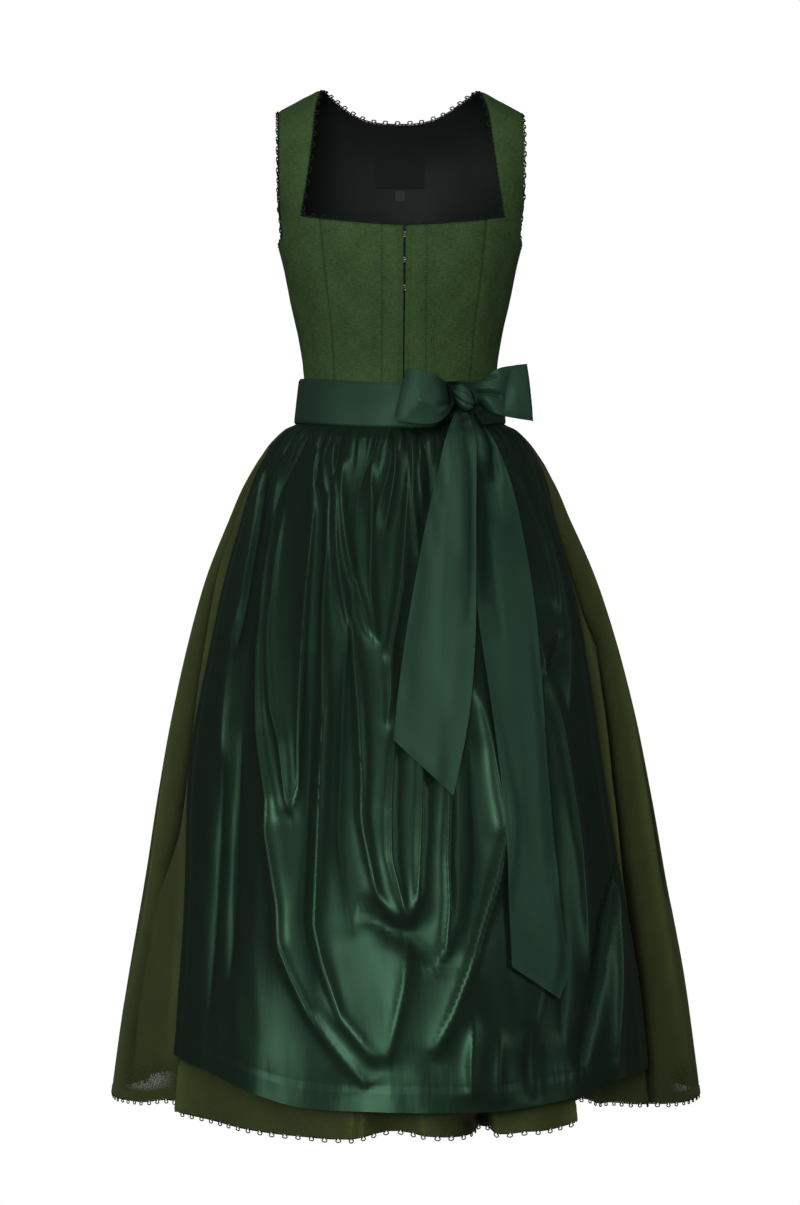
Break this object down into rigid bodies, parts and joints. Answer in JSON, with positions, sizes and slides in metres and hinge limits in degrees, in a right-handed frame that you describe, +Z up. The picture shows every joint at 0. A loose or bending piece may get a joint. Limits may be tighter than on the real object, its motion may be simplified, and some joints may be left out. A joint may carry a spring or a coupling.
{
  "type": "dirndl dress",
  "caption": "Green dirndl dress with square neck, gathered skirt, taffeta apron tied in a bow and picot edging.",
  "frame": {"origin": "between the two shoulder seams, at the height of the neck points, where the wearer's shoulders hold the dress up", "axes": "+Z up, -Y to the front of the dress, +X to the wearer's left"},
  "size_m": [0.7042, 0.6373, 1.2072],
  "materials": {
    "bodice_linen": "matte",
    "skirt_cloth": "matte",
    "apron_taffeta": "satin",
    "ribbon_taffeta": "satin",
    "lining_satin": "satin",
    "woven_label": "matte",
    "picot_thread": "matte",
    "hook_metal": "satin"
  },
  "bodies": {
    "root": {"bodice_front_centre_left": "bodice_linen", "bodice_front_centre_right": "bodice_linen", "bodice_front_side_left": "bodice_linen", "bodice_front_side_right": "bodice_linen", "bodice_back_side_left": "bodice_linen", "bodice_back_side_right": "bodice_linen", "bodice_back_centre": "bodice_linen", "lining_back_centre": "lining_satin", "lining_back_side_left": "lining_satin", "lining_back_side_right": "lining_satin", "label_blank": "woven_label", "size_tag_blank": "woven_label", "front_hook_1": "hook_metal", "front_hook_2": "hook_metal", "front_hook_3": "hook_metal", "skirt_front": "skirt_cloth", "skirt_back_left": "skirt_cloth", "skirt_back_right": "skirt_cloth", "apron_panel": "apron_taffeta", "apron_band": "ribbon_taffeta", "bow_loop_left_hand": "ribbon_taffeta", "bow_loop_right_hand": "ribbon_taffeta", "bow_knot": "ribbon_taffeta", "ribbon_tail_short": "ribbon_taffeta", "ribbon_tail_long": "ribbon_taffeta", "picot_neckline": "picot_thread", "picot_armhole_left": "picot_thread", "picot_armhole_right": "picot_thread", "picot_hem": "picot_thread"}
  },
  "joints": []
}
